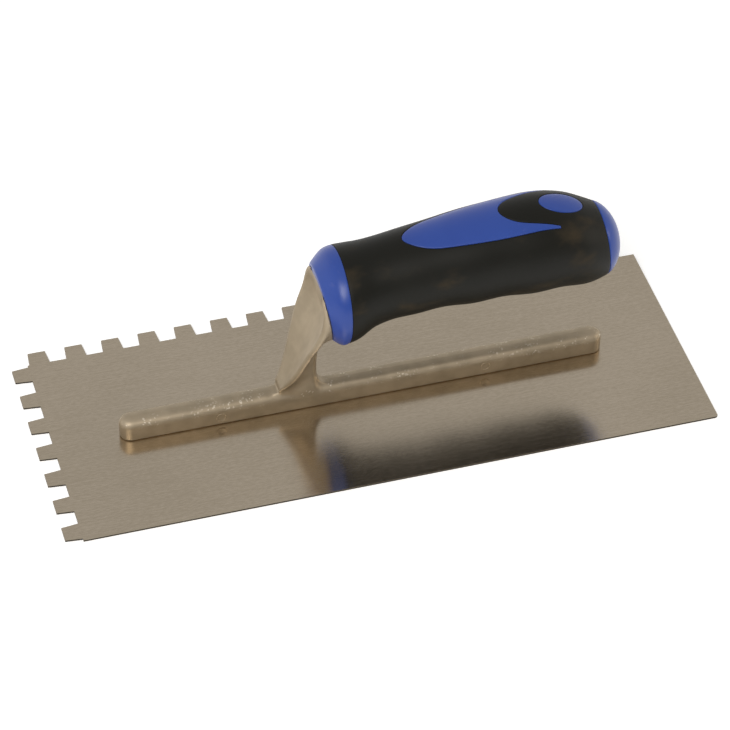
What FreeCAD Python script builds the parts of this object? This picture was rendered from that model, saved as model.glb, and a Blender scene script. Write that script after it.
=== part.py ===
"""Notched trowel: a toothed steel blade riveted under a die-cast mounting, whose tang holds a soft grip.

Row frame, in millimetres: the origin is the centre of the blade's underside, +X runs along the blade
towards the free end of the grip, +Y towards the toothed long edge and +Z up. Each function below makes
one piece, and the last lines write one STEP file for each.
"""

import FreeCAD, Part

import math
import os

from FreeCAD import Vector

# Blade -----------------------------------------------------------------------
BLADE_LENGTH = 279.4
BLADE_WIDTH = 114.3
BLADE_THICKNESS = 0.8
BLADE_CORNER_RADIUS = 1.5      # the one rounded corner, at the plain long edge and the plain short edge

# Teeth, along one long edge (+Y) and one short edge (-X) ----------------------
TOOTH_PITCH = 16.0
TOOTH_TIP = 7.5                # width at the tip
TOOTH_ROOT = 8.9               # width at the root
TOOTH_DEPTH = 7.2
LONG_ROW_START = 12.4          # from the corner shared by both rows to the first tooth's centre
SHORT_ROW_START = 12.7

# Mounting bar, the part of the casting that lies on the blade -----------------
BAR_LENGTH = 210.5
BAR_CENTRE = 0.6               # x of the bar's middle
BAR_WIDTH = 9.4
BAR_HEIGHT = 10.0
BAR_SHOULDER_RADIUS = 3.2
BAR_CROWN_RADIUS = 8.0
MOUNT_OFFSET = -2.0            # the mounting lies this far towards the blade's plain long edge
PARTING_RIDGE = 0.14           # how far the casting's parting line stands out
PARTING_WIDTH = 0.4
EJECTOR_RADIUS = 1.9
EJECTOR_DEPTH = 0.2
EJECTOR_MARKS = ((-62.2, 4.1), (53.0, 4.8))    # (x, height above the blade) on the -Y side

# Rivets between blade and bar --------------------------------------------------
RIVET_COUNT = 6
RIVET_END_MARGIN = 12.0        # from the bar's end to the first rivet's axis
RIVET_RADIUS = 2.2
RIVET_HEAD_RADIUS = 3.1        # flush with the blade's underside
RIVET_GRIP = 5.5               # how far a rivet reaches into the bar
RIVET_FIT = 0.02

# Front of the grip, where the neck of the casting meets the collar ---------------
MOUTH_X = -18.1                # centre of the collar's front rim
MOUTH_HEIGHT = 55.1
MOUTH_RADIUS = 16.5
MOUTH_LEAN = 9.0               # degrees that the rim leans forwards at the top
SEAM_X = -10.3                 # collar against sleeve
SEAM_HEIGHT = 57.4
SEAM_RADIUS = 20.7
# The collar swells between the two: (share of its depth, share of the climb, share of the growth in radius)
COLLAR_STATIONS = ((0.0, 0.0, 0.0), (0.28, 0.24, 0.48), (0.60, 0.60, 0.90), (1.0, 1.0, 1.0))

# Grip --------------------------------------------------------------------------
SLEEVE_LENGTH = 111.8          # from the collar to the end cap
SLEEVE_WALL = 2.2
SLEEVE_END_LEAN = 3.5          # degrees
MOULD_GAP = 0.05               # between the soft sleeve and the hard core
SLEEVE_SECTIONS = 22           # round sections from the collar to the cap
# Side view: (share of the sleeve's length, height above the same line at the seam)
CREST_LINE = (
    (0.0, 0.0), (0.1, 0.8), (0.25, 3.4), (0.5, 7.5), (0.7, 9.4), (0.8, 9.2), (0.9, 6.3), (1.0, 0.6))
BELLY_LINE = (
    (0.0, 0.0), (0.05, 1.9), (0.1, 5.5), (0.2, 8.3), (0.35, 9.4), (0.6, 9.6), (0.8, 9.1), (0.94, 8.7), (1.0, 10.1))
FINGER_DEPTH = 0.4             # of the waves along the belly, to either side of its line
FINGER_PITCH = 25.3
FINGER_FIRST = 28.0            # from the seam to the first finger's ridge

# Windows in the sleeve: the hard core rises through them, flush with the surface -----
PANEL_TIP = 26.2               # from the seam to the panel's pointed front
PANEL_SPAN = 64.2              # from that point to its two tails
PANEL_HALF_WIDTH = 12.3
PANEL_TAIL = 1.1               # width of a tail's blunt end
PANEL_NOSE = 41.0              # from the pointed front to the rounded notch between the tails
# The panel's two edges as (share of its length, share of its half width): the outer one from the front
# point to a tail, and the inner one from the notch to the same tail
PANEL_SIDE = ((0.0, 0.0), (0.055, 0.40), (0.28, 0.82), (0.60, 1.0), (1.0, 1.02))
PANEL_NOTCH = ((0.0, 0.0), (0.10, 0.42), (0.48, 0.80), (1.0, 1.03))
OVAL_CENTRE = 94.1             # from the seam
OVAL_LENGTH = 19.0
OVAL_WIDTH = 12.4
WINDOW_GAP = 0.12

# Tang inside the grip, and what holds the grip on it -------------------------------
PLUG_RADIUS = 12.0             # round seat of the neck inside the collar
TANG_HEIGHT = 56.2             # where its axis crosses the seam
TANG_SLOPE = 3.4               # degrees
TANG_RADIUS = 6.0
TANG_END_RADIUS = 5.2
TANG_FIT = 0.1
SEAT_DEPTH = 19.0              # from the core's rear end to the washer's seat
SEAT_CLEARANCE = 2.0           # from the tang's end to that seat, so that the screw can pull
POCKET_RADIUS = 10.0           # round pocket behind the seat
SCREW_RADIUS = 3.0
SCREW_DEPTH = 15.0
SCREW_HEAD_RADIUS = 5.4
SCREW_HEAD_HEIGHT = 3.8
SCREW_FIT = 0.03
DRIVE_WIDTH = 1.4              # slots of the cross drive
DRIVE_LENGTH = 6.0
DRIVE_DEPTH = 2.2
WASHER_RADIUS = 8.5
WASHER_THICKNESS = 1.6
WASHER_PLAY = 0.3              # round the screw

# End cap ---------------------------------------------------------------------------
CAP_DEPTH = 8.3
CAP_WALL = SLEEVE_WALL + 0.2     # so that its rim bears on the core as well
CAP_START = 16.0               # degrees: the dome is an ellipse that starts this far past its fullest place
SPIGOT_WALL = 1.8
SPIGOT_LENGTH = 9.0
SPIGOT_FIT = 0.05

# Neck --------------------------------------------------------------------------------
# The front of the neck is a scooped leaf and its back is a web. Each row is one level section:
# (share of the height from bar top to mouth centre, leaf rim x from the mouth, leaf width,
#  scoop depth, web back x from the mouth, web width)
NECK_FOOT = (
    (-0.070, -23.5, 5.4, 0.2, 3.6, 8.8),
    (0.025, -20.0, 7.4, 0.35, -0.8, 8.2),
    (0.115, -17.2, 11.8, 0.8, -1.8, 7.4),
    (0.213, -15.1, 16.2, 1.4, -2.0, 7.2),
    (0.339, -13.0, 20.4, 2.1, -1.8, 7.4),
    (0.475, -11.1, 24.2, 2.8, -1.1, 8.6),
    (0.572, -9.7, 26.9, 3.3, 0.6, 11.2),
)
# Above it the back runs into the collar's plane, and the width follows the collar's rim:
# (share of the mouth's radius above its centre, leaf rim ahead of the collar's plane,
#  extra width, scoop depth)
NECK_HEAD = (
    (-0.92, 10.8, 16.6, 3.8),
    (-0.68, 8.7, 7.6, 4.2),
    (-0.44, 6.6, 3.2, 4.3),
    (-0.20, 4.7, 0.8, 4.2),
    (0.05, 3.2, 0.1, 3.8),
    (0.28, 2.2, 0.0, 3.1),
    (0.50, 1.4, -0.3, 2.1),
    (0.67, 0.7, -0.8, 1.2),
    (0.78, 0.2, -1.6, 0.5),
)
LEAF_LIP = 2.1                 # radius of the leaf's rounded rim
LEAF_LIP_SHARE = 0.30          # but no more than this share of the section's half width
FLANK_PLACE = 0.3              # where a flank draws in most, as a share of the way from lip to web
FLANK_WIDTH = 0.36             # how much of the leaf's extra width it keeps there
WEB_ROUND = 0.7                # depth of the web's round back, as a share of its half width
HEAD_REACH = 0.35              # the head's sections pass the collar's plane by this share of their width
STEP_WIDTH = 7.0               # small flat step at the foot of the leaf
STEP_HEIGHT = 3.2
STEP_SETBACK = 18.6            # from the mouth's centre to the step's face
HEEL_RADIUS = 5.0              # hollow between the web's back and the bar's top
HEEL_WIDTH = 5.6
HEEL_SETBACK = 1.9             # from the mouth's centre to where the hollow starts

BEYOND = 60.0                  # half size of cutting blocks: more than any cut piece reaches from its axis

BAR_TOP = BLADE_THICKNESS + BAR_HEIGHT
END_X = SEAM_X + SLEEVE_LENGTH
END_HEIGHT = SEAM_HEIGHT + (CREST_LINE[-1][1] + BELLY_LINE[-1][1]) / 2
END_RADIUS = SEAM_RADIUS + (CREST_LINE[-1][1] - BELLY_LINE[-1][1]) / 2


# Helpers --------------------------------------------------------------------------------
def polygon(points):
    """Closed straight-sided wire through (x, y, z) points."""
    corners = [Vector(*p) for p in points]
    return Part.makePolygon(corners + corners[:1])


def curve(points, ends=None):
    """One smooth edge through points, with optional directions at its two ends."""
    spline = Part.BSplineCurve()
    vectors = [Vector(*p) for p in points]
    if ends:
        start, end = ends
        spline.interpolate(vectors, InitialTangent=Vector(*start), FinalTangent=Vector(*end))
    else:
        spline.interpolate(vectors)
    return spline.toShape()


def ring(x, height, radius, lean=0.0):
    """Round section of the grip. A positive lean tips its top towards -X."""
    tilt = math.radians(lean)
    normal = Vector(math.cos(tilt), 0, math.sin(tilt))
    circle = Part.Circle(Vector(x, 0, height), normal, radius)
    circle.XAxis = Vector(math.sin(tilt), 0, -math.cos(tilt))
    return Part.Wire([circle.toShape()])


def box(low, high):
    """Block between two corners."""
    return Part.makeBox(*[b - a for a, b in zip(low, high)], Vector(*low))


TANG_DIRECTION = Vector(math.cos(math.radians(TANG_SLOPE)), 0, math.sin(math.radians(TANG_SLOPE)))


def on_tang(distance):
    """Point on the tang's axis, at a distance behind the seam."""
    return Vector(SEAM_X, 0, TANG_HEIGHT) + TANG_DIRECTION * distance


def tang_cylinder(radius, start, end):
    """Cylinder on the tang's axis."""
    return Part.makeCylinder(radius, end - start, on_tang(start), TANG_DIRECTION)


def tang_cone(radius_start, radius_end, start, end):
    """Tapered bar on the tang's axis."""
    return Part.makeCone(radius_start, radius_end, end - start, on_tang(start), TANG_DIRECTION)


SEAT = (SLEEVE_LENGTH - SEAT_DEPTH) / math.cos(math.radians(TANG_SLOPE))
TANG_END = SEAT - SEAT_CLEARANCE


# Blade and rivets ---------------------------------------------------------------------------
def tooth_centres(first, edge_length):
    """Distances of the teeth from the shared corner: as many as fit along the edge."""
    count = int((edge_length - first - TOOTH_ROOT / 2) // TOOTH_PITCH) + 1
    return [first + i * TOOTH_PITCH for i in range(count)]


def tooth_outline(centre):
    """The four corners of one tooth as (distance along the edge, height above the root line)."""
    root = TOOTH_ROOT / 2
    tip = TOOTH_TIP / 2
    near_side = [(centre - root, 0), (centre - tip, TOOTH_DEPTH)]
    return near_side + [(centre + tip, TOOTH_DEPTH), (centre + root, 0)]


def blade_outline():
    """Corners of the blade, clockwise from the corner that both rows of teeth share."""
    left, right = -BLADE_LENGTH / 2, BLADE_LENGTH / 2
    near, far = -BLADE_WIDTH / 2, BLADE_WIDTH / 2
    root_x, root_y = left + TOOTH_DEPTH, far - TOOTH_DEPTH
    points = [(root_x, root_y)]
    for centre in tooth_centres(LONG_ROW_START, BLADE_LENGTH):
        points += [(left + along, root_y + up) for along, up in tooth_outline(centre)]
    points += [(right, root_y), (right, near), (root_x, near)]
    for centre in reversed(tooth_centres(SHORT_ROW_START, BLADE_WIDTH)):
        points += [(root_x - up, far - along) for along, up in reversed(tooth_outline(centre))]
    return points


def rivet_places():
    """X of each rivet, evenly spread along the bar."""
    first = BAR_CENTRE - BAR_LENGTH / 2 + RIVET_END_MARGIN
    step = (BAR_LENGTH - 2 * RIVET_END_MARGIN) / (RIVET_COUNT - 1)
    return [first + i * step for i in range(RIVET_COUNT)]


def rivet_form(x, spare):
    """Rivet at x, larger all round by spare: a countersunk head in the blade and a shank in the bar."""
    foot = Vector(x, 0, 0)
    head = Part.makeCone(RIVET_HEAD_RADIUS + spare, RIVET_RADIUS + spare, BLADE_THICKNESS, foot)
    shank = Part.makeCylinder(RIVET_RADIUS + spare, BLADE_THICKNESS + RIVET_GRIP + spare, foot)
    return head.fuse(shank)


def make_blade():
    outline = polygon([(x, y, 0) for x, y in blade_outline()])
    plate = Part.Face(outline).extrude(Vector(0, 0, BLADE_THICKNESS))
    rounded = []
    for edge in plate.Edges:
        middle = edge.CenterOfMass
        on_corner = abs(middle.x - BLADE_LENGTH / 2) < 0.01 and abs(middle.y + BLADE_WIDTH / 2) < 0.01
        if on_corner:
            rounded.append(edge)
    plate = plate.makeFillet(BLADE_CORNER_RADIUS, rounded)
    holes = [rivet_form(x, RIVET_FIT) for x in rivet_places()]
    return plate.cut([on_mount_line(hole) for hole in holes])


def on_mount_line(shape):
    """Moves a piece from the middle plane y = 0, where it is drawn, to the mounting's own plane."""
    return shape.translated(Vector(0, MOUNT_OFFSET, 0))


def make_rivets():
    rivets = [rivet_form(x, 0.0).removeSplitter() for x in rivet_places()]
    return Part.makeCompound(rivets)


# Casting ---------------------------------------------------------------------------------------
def bar_half_profile(spare=0.0):
    """Half of the bar's section as a face in the XZ plane: side, shoulder arc and crown arc."""
    half = BAR_WIDTH / 2
    flat = half - BAR_SHOULDER_RADIUS
    angle = math.asin(flat / (BAR_CROWN_RADIUS - BAR_SHOULDER_RADIUS))
    crown_rise = BAR_CROWN_RADIUS * (1 - math.cos(angle))
    side = BAR_HEIGHT - crown_rise - BAR_SHOULDER_RADIUS * math.cos(angle)
    shoulder = BAR_SHOULDER_RADIUS + spare
    crown = BAR_CROWN_RADIUS + spare

    def on_shoulder(from_vertical):
        sideways = flat + shoulder * math.sin(from_vertical)
        return Vector(sideways, 0, side + shoulder * math.cos(from_vertical))

    def on_crown(from_vertical):
        centre = BAR_HEIGHT - BAR_CROWN_RADIUS
        return Vector(crown * math.sin(from_vertical), 0, centre + crown * math.cos(from_vertical))

    top = on_crown(0.0)
    outermost = on_shoulder(math.pi / 2)
    halfway = on_shoulder((math.pi / 2 + angle) / 2)
    edges = [
        Part.makeLine(Vector(0, 0, 0), Vector(half + spare, 0, 0)),
        Part.makeLine(Vector(half + spare, 0, 0), outermost),
        Part.Arc(outermost, halfway, on_shoulder(angle)).toShape(),
        Part.Arc(on_shoulder(angle), on_crown(angle / 2), top).toShape(),
        Part.makeLine(top, Vector(0, 0, 0)),
    ]
    return Part.Face(Part.Wire(edges))


def make_bar():
    """Straight crowned bar with round domed ends, all from one half profile."""
    reach = BAR_LENGTH / 2 - BAR_WIDTH / 2
    half = bar_half_profile()
    up = Vector(0, 0, 1)
    turned = half.revolve(Vector(0, 0, 0), up, 360)
    right_end = turned.translated(Vector(reach, 0, 0))
    left_end = turned.translated(Vector(-reach, 0, 0))
    side = half.rotated(Vector(0, 0, 0), up, 90).translated(Vector(-reach, 0, 0))
    near = side.extrude(Vector(2 * reach, 0, 0))
    far = near.mirror(Vector(0, 0, 0), Vector(0, 1, 0))
    bar = near.fuse([far, left_end, right_end]).removeSplitter()
    return bar.translated(Vector(BAR_CENTRE, 0, BLADE_THICKNESS))


def make_parting_ridge():
    """Thin fin along the bar's middle plane, where the two halves of the die met."""
    reach = BAR_LENGTH / 2 - BAR_WIDTH / 2
    right_end = bar_half_profile(PARTING_RIDGE).translated(Vector(reach, 0, 0))
    left_end = right_end.mirror(Vector(0, 0, 0), Vector(1, 0, 0))
    middle = box((-reach, 0, 0), (reach, PARTING_WIDTH, BAR_HEIGHT + PARTING_RIDGE))
    depth = Vector(0, PARTING_WIDTH, 0)
    fin = middle.fuse([right_end.extrude(depth), left_end.extrude(depth)])
    return fin.translated(Vector(BAR_CENTRE, -PARTING_WIDTH / 2, BLADE_THICKNESS))


def neck_section(z, rim_x, leaf_width, scoop, back_x, web_width):
    """Level section of the neck: hollow front, rounded lips, sides drawing in to a rounded back."""
    leaf = leaf_width / 2
    web = web_width / 2
    round_x = back_x - web * WEB_ROUND
    lip = min(LEAF_LIP, LEAF_LIP_SHARE * leaf)
    lip_x = rim_x + lip
    slant = lip * (1 - math.sqrt(0.5))
    flank_x = lip_x + FLANK_PLACE * (round_x - lip_x)
    flank = web + FLANK_WIDTH * (leaf - web)
    side = [(lip_x, leaf, z), (flank_x, flank, z), (round_x, web, z)]
    back = Part.Arc(Vector(round_x, web, z), Vector(back_x, 0, z), Vector(round_x, -web, z)).toShape()
    inner = leaf - lip
    hollow = Vector(rim_x + scoop, 0, z)
    front = Part.Arc(Vector(rim_x, -inner, z), hollow, Vector(rim_x, inner, z)).toShape()

    def rim(hand):
        start, end = Vector(rim_x, hand * inner, z), Vector(lip_x, hand * leaf, z)
        return Part.Arc(start, Vector(rim_x + slant, hand * (leaf - slant), z), end).toShape()

    edges = [
        front,
        rim(1),
        curve(side),
        back,
        curve([(x, -y, level) for x, y, level in reversed(side)]),
        rim(-1),
    ]
    return Part.Wire(edges)


def mouth_plane_x(z):
    """X of the collar's front plane at a height."""
    return MOUTH_X - (z - MOUTH_HEIGHT) * math.tan(math.radians(MOUTH_LEAN))


def make_neck():
    """Loft from the bar's top to the collar's mouth, cut flat where it meets the collar."""
    sections = []
    rise = MOUTH_HEIGHT - BAR_TOP
    for share, rim, width, scoop, back, web in NECK_FOOT:
        z = BAR_TOP + share * rise
        sections.append(neck_section(z, MOUTH_X + rim, width, scoop, MOUTH_X + back, web))
    for share, ahead, extra, scoop in NECK_HEAD:
        z = MOUTH_HEIGHT + share * MOUTH_RADIUS * math.cos(math.radians(MOUTH_LEAN))
        plane = mouth_plane_x(z)
        chord = 2 * MOUTH_RADIUS * math.sqrt(1 - share * share)
        back = plane + HEAD_REACH * chord + 1
        sections.append(neck_section(z, plane - ahead, chord + extra, scoop, back, chord))
    return Part.makeLoft(sections, True, False)


def behind_mouth():
    """Everything behind the collar's front plane."""
    tilt = math.radians(MOUTH_LEAN)
    block = box((0, -BEYOND, -BEYOND), (2 * BEYOND, BEYOND, BEYOND))
    block.rotate(Vector(0, 0, 0), Vector(0, 1, 0), -math.degrees(tilt))
    return block.translated(Vector(MOUTH_X, 0, MOUTH_HEIGHT))


def make_tang():
    """Round seat in the collar, then the tapered bar through the core."""
    within_collar = box((MOUTH_X - BEYOND, -BEYOND, 0), (SEAM_X - TANG_FIT, BEYOND, 2 * BEYOND))
    seat = tang_cylinder(PLUG_RADIUS, MOUTH_X - SEAM_X - 6, 5).common(behind_mouth())
    bar = tang_cone(TANG_RADIUS, TANG_END_RADIUS, 0, TANG_END)
    root = tang_cylinder(TANG_RADIUS, -4, 0)
    return seat.common(within_collar).fuse([root, bar])


def make_heel():
    """Hollow fillet behind the web, on the bar's top."""
    start = MOUTH_X - HEEL_SETBACK
    inside = start - HEEL_SETBACK
    low = BAR_TOP - PARTING_WIDTH
    top = BAR_TOP + HEEL_RADIUS
    centre = Vector(start + HEEL_RADIUS, 0, top)
    slant = HEEL_RADIUS * math.sqrt(0.5)
    corners = [Vector(start, 0, top), Vector(inside, 0, top), Vector(inside, 0, low)]
    corners += [Vector(centre.x, 0, low), Vector(centre.x, 0, BAR_TOP)]
    edges = [Part.makeLine(a, b) for a, b in zip(corners, corners[1:])]
    edges.append(Part.Arc(corners[-1], centre - Vector(slant, 0, slant), corners[0]).toShape())
    face = Part.Face(Part.Wire(edges)).translated(Vector(0, -HEEL_WIDTH / 2, 0))
    return face.extrude(Vector(0, HEEL_WIDTH, 0))


def make_casting():
    foot_step = box(
        (MOUTH_X - STEP_SETBACK - 12, -STEP_WIDTH / 2, BAR_TOP + PARTING_RIDGE),
        (MOUTH_X - STEP_SETBACK, STEP_WIDTH / 2, BAR_TOP + STEP_HEIGHT),
    )
    neck = make_neck().cut(behind_mouth())
    neck = neck.cut(foot_step)
    casting = make_bar().fuse([make_parting_ridge(), neck, make_heel(), make_tang()])
    marks = []
    for x, height in EJECTOR_MARKS:
        start = Vector(x, -BAR_WIDTH / 2 - EJECTOR_DEPTH, BLADE_THICKNESS + height)
        marks.append(Part.makeCylinder(EJECTOR_RADIUS, 2 * EJECTOR_DEPTH, start, Vector(0, 1, 0)))
    holes = [rivet_form(x, RIVET_FIT) for x in rivet_places()]
    thread = tang_cylinder(SCREW_RADIUS + SCREW_FIT, TANG_END - SCREW_DEPTH, TANG_END + 1)
    return casting.cut(marks + holes + [thread]).removeSplitter()


# Grip ---------------------------------------------------------------------------------------------
def line_height(points, share):
    """Height of a smooth line through the points."""
    last = len(points) - 1
    slopes = []
    for i in range(last + 1):
        before, after = points[max(i - 1, 0)], points[min(i + 1, last)]
        slopes.append((after[1] - before[1]) / (after[0] - before[0]))
    i = max(k for k in range(last) if k == 0 or points[k][0] <= share)
    span = points[i + 1][0] - points[i][0]
    t = (share - points[i][0]) / span
    rise = (3 * t ** 2 - 2 * t ** 3) * (points[i + 1][1] - points[i][1])
    bend = (t - 2 * t ** 2 + t ** 3) * slopes[i] + (t ** 3 - t ** 2) * slopes[i + 1]
    return points[i][1] + rise + bend * span


def belly_height(share):
    """Height of the belly with its finger waves, which fade out at both ends."""
    along = share * SLEEVE_LENGTH
    fade = min(1, along / FINGER_FIRST, (SLEEVE_LENGTH - along) / (FINGER_PITCH / 2)) ** 2
    wave = math.cos(2 * math.pi * (along - FINGER_FIRST) / FINGER_PITCH)
    return line_height(BELLY_LINE, share) - FINGER_DEPTH * fade * wave


def grip_form(inset):
    """The sleeve's outer form, drawn in all round by inset."""
    rings = []
    for i in range(SLEEVE_SECTIONS + 1):
        share = i / SLEEVE_SECTIONS
        crest, belly = line_height(CREST_LINE, share), belly_height(share)
        radius = SEAM_RADIUS + (crest - belly) / 2 - inset
        height = SEAM_HEIGHT + (crest + belly) / 2
        rings.append(ring(SEAM_X + share * SLEEVE_LENGTH, height, radius, SLEEVE_END_LEAN * share))
    return Part.makeLoft(rings, True, False)


def panel_outline(gap):
    """Plan of the long panel: a leaf with a pointed front, open at the rear round a blunt nose."""
    tip = SEAM_X + PANEL_TIP + gap
    nose = SEAM_X + PANEL_TIP + PANEL_NOSE - gap
    tail = SEAM_X + PANEL_TIP + PANEL_SPAN - gap
    outer_width = PANEL_HALF_WIDTH - gap
    inner_width = PANEL_HALF_WIDTH - PANEL_TAIL
    outer = [(tip + a * (tail - tip), b * outer_width, 0) for a, b in PANEL_SIDE]
    inner = [(nose + a * (tail - nose), b * inner_width, 0) for a, b in PANEL_NOTCH]
    edges = []
    for side in (outer, inner):
        mirrored = [(x, -y, z) for x, y, z in side]
        edges.append(curve(mirrored[:0:-1] + side))
    for hand in (1, -1):
        ends = [Vector(tail, hand * side[-1][1], 0) for side in (outer, inner)]
        edges.append(Part.makeLine(*ends))
    return Part.Wire(Part.__sortEdges__(edges))


def oval_outline(gap):
    """Plan of the oval."""
    centre = Vector(SEAM_X + OVAL_CENTRE, 0, 0)
    oval = Part.Ellipse(centre, OVAL_LENGTH / 2 - gap, OVAL_WIDTH / 2 - gap)
    return Part.Wire([oval.toShape()])


def window_prisms(gap):
    """Upright prisms through the top of the grip, smaller all round by gap."""
    prisms = []
    for outline in (panel_outline(gap), oval_outline(gap)):
        face = Part.Face(outline).translated(Vector(0, 0, SEAM_HEIGHT))
        prisms.append(face.extrude(Vector(0, 0, 3 * SEAM_RADIUS)))
    return prisms


def make_sleeve():
    hollow = grip_form(0.0).cut(grip_form(SLEEVE_WALL))
    return hollow.cut(window_prisms(0.0))


def make_core():
    """Hard core with the raised panel and oval, bored for the tang and pocketed for the screw."""
    core = grip_form(SLEEVE_WALL + MOULD_GAP)
    full = grip_form(0.0)
    lands = [full.common(prism) for prism in window_prisms(WINDOW_GAP)]
    core = core.fuse(lands)
    bore = tang_cone(TANG_RADIUS + TANG_FIT, TANG_END_RADIUS + TANG_FIT, 0, TANG_END)
    lead = tang_cylinder(TANG_RADIUS + TANG_FIT, -5, 0)
    passage = tang_cylinder(TANG_END_RADIUS + TANG_FIT, TANG_END, SEAT)
    pocket = tang_cylinder(POCKET_RADIUS, SEAT, SEAT + SEAT_DEPTH + 10)
    return core.cut([bore, lead, passage, pocket])


def make_collar():
    """Tapered ring between the neck and the sleeve, bored for the neck's round seat."""
    depth = SEAM_X - MOUTH_X
    rise = SEAM_HEIGHT - MOUTH_HEIGHT
    swell = SEAM_RADIUS - MOUTH_RADIUS
    rings = []
    for share, climb, growth in COLLAR_STATIONS:
        height = MOUTH_HEIGHT + climb * rise
        radius = MOUTH_RADIUS + growth * swell
        rings.append(ring(MOUTH_X + share * depth, height, radius, MOUTH_LEAN * (1 - share)))
    body = Part.makeLoft(rings, True, False)
    bore = tang_cylinder(PLUG_RADIUS + TANG_FIT, MOUTH_X - SEAM_X - 20, 5)
    return body.cut(bore)


def dome(radius, depth):
    """Dome about +X, from a rim in the plane x = 0."""
    first = math.radians(CAP_START)
    points = []
    for step in range(0, 9):
        angle = first + (math.pi / 2 - first) * step / 8
        along = depth * (math.sin(angle) - math.sin(first)) / (1 - math.sin(first))
        points.append((along, 0, radius * math.cos(angle) / math.cos(first)))
    points[-1] = (depth, 0, 0)
    slope = radius * math.tan(first) * (1 - math.sin(first)) / (depth * math.cos(first))
    skin = curve(points, ends=((1, 0, -slope), (0, 0, -1)))
    back = Part.makeLine(Vector(0, 0, 0), Vector(0, 0, radius))
    axis = Part.makeLine(Vector(depth, 0, 0), Vector(0, 0, 0))
    face = Part.Face(Part.Wire([back, skin, axis]))
    return face.revolve(Vector(0, 0, 0), Vector(1, 0, 0), 360)


def at_grip_end(shape):
    """Moves a shape made about the X axis, with its seam in the plane x = 0, to the grip's rear end."""
    turned = shape.rotated(Vector(0, 0, 0), Vector(0, 1, 0), -SLEEVE_END_LEAN)
    return turned.translated(Vector(END_X, 0, END_HEIGHT))


def make_cap():
    """Domed shell with a web across its mouth, and a round spigot that enters the core's pocket."""
    shell = dome(END_RADIUS, CAP_DEPTH).cut(dome(END_RADIUS - CAP_WALL, CAP_DEPTH - CAP_WALL))
    spigot_radius = POCKET_RADIUS - SPIGOT_FIT
    tube_end = SEAT + SEAT_DEPTH + CAP_DEPTH
    tube = tang_cylinder(spigot_radius, SEAT + SEAT_DEPTH - SPIGOT_LENGTH, tube_end)
    tube = tube.cut(tang_cylinder(spigot_radius - SPIGOT_WALL, 0, tube_end + 1))
    inside_dome = at_grip_end(dome(END_RADIUS - CAP_WALL / 2, CAP_DEPTH - CAP_WALL / 2))
    ahead = at_grip_end(box((-BEYOND, -BEYOND, -BEYOND), (0, BEYOND, BEYOND)))
    return at_grip_end(shell).fuse([tube.common(inside_dome), tube.common(ahead)]).removeSplitter()


def make_washer():
    disc = tang_cylinder(WASHER_RADIUS, SEAT, SEAT + WASHER_THICKNESS)
    return disc.cut(tang_cylinder(SCREW_RADIUS + WASHER_PLAY, SEAT - 1, SEAT + WASHER_THICKNESS + 1))


def make_screw():
    under_head = SEAT + WASHER_THICKNESS
    shank = tang_cylinder(SCREW_RADIUS, TANG_END - SCREW_DEPTH + 1, under_head)
    head_end = under_head + SCREW_HEAD_HEIGHT
    head = tang_cylinder(SCREW_HEAD_RADIUS, under_head, head_end)
    screw = shank.fuse(head).removeSplitter()
    half_length, half_width = DRIVE_LENGTH / 2, DRIVE_WIDTH / 2
    slots = []
    for across, up in ((half_length, half_width), (half_width, half_length)):
        slot = box((-DRIVE_DEPTH, -across, -up), (1, across, up))
        slot = slot.rotated(Vector(0, 0, 0), Vector(0, 1, 0), -TANG_SLOPE)
        slots.append(slot.translated(on_tang(head_end)))
    return screw.cut(slots)


MOUNTED_PIECES = {
    "blade_rivets": make_rivets,
    "mount_casting": make_casting,
    "front_collar": make_collar,
    "grip_core": make_core,
    "grip_sleeve": make_sleeve,
    "end_cap": make_cap,
    "tang_washer": make_washer,
    "tang_screw": make_screw,
}


def write_piece(name, shape):
    """Saves one node and says what it is."""
    shape.exportStep("parts/" + name + ".step")
    state = "valid" if shape.isValid() else "NOT VALID"
    print(name, len(shape.Solids), "solid(s)", round(shape.Volume), "mm3", state)


os.makedirs("parts", exist_ok=True)
write_piece("blade", make_blade())
for piece_name, make_piece in MOUNTED_PIECES.items():
    write_piece(piece_name, on_mount_line(make_piece()))
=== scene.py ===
# %% [markdown]
# # Notched trowel
# A trowel for spreading tile adhesive. It is a springy sheet of brushed steel with square teeth on two of
# its edges, a die-cast mounting riveted along its middle, and a soft two-colour grip on the mounting's tang.
#
# The measured model is made elsewhere and comes in as a fixed frame. This lesson gives it its looks. Each
# step says what the real piece is, how Blender could make it, and why one way was taken.

# %% Load the frame
import math

import bmesh
import bpy
import numpy as np
from mathutils import Matrix, Vector
from mathutils.geometry import delaunay_2d_cdt


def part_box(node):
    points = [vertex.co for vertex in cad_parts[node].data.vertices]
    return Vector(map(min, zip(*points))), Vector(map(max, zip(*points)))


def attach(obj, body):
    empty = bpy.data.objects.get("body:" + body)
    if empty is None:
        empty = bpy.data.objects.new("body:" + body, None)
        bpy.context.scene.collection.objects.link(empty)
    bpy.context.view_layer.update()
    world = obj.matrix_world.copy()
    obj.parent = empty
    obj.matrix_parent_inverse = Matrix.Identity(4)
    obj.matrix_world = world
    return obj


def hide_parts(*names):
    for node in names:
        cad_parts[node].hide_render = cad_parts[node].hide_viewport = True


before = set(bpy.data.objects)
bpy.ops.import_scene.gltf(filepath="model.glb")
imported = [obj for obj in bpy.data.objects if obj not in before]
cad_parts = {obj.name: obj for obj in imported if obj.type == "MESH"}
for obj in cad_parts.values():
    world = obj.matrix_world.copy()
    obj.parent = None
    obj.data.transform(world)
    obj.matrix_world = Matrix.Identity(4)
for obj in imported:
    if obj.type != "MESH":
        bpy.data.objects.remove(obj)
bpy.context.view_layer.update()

scene = bpy.context.scene
MM = 0.001      # every length below is written in millimetres and multiplied by this
print("nodes in the frame:", ", ".join(sorted(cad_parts)))

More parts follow.
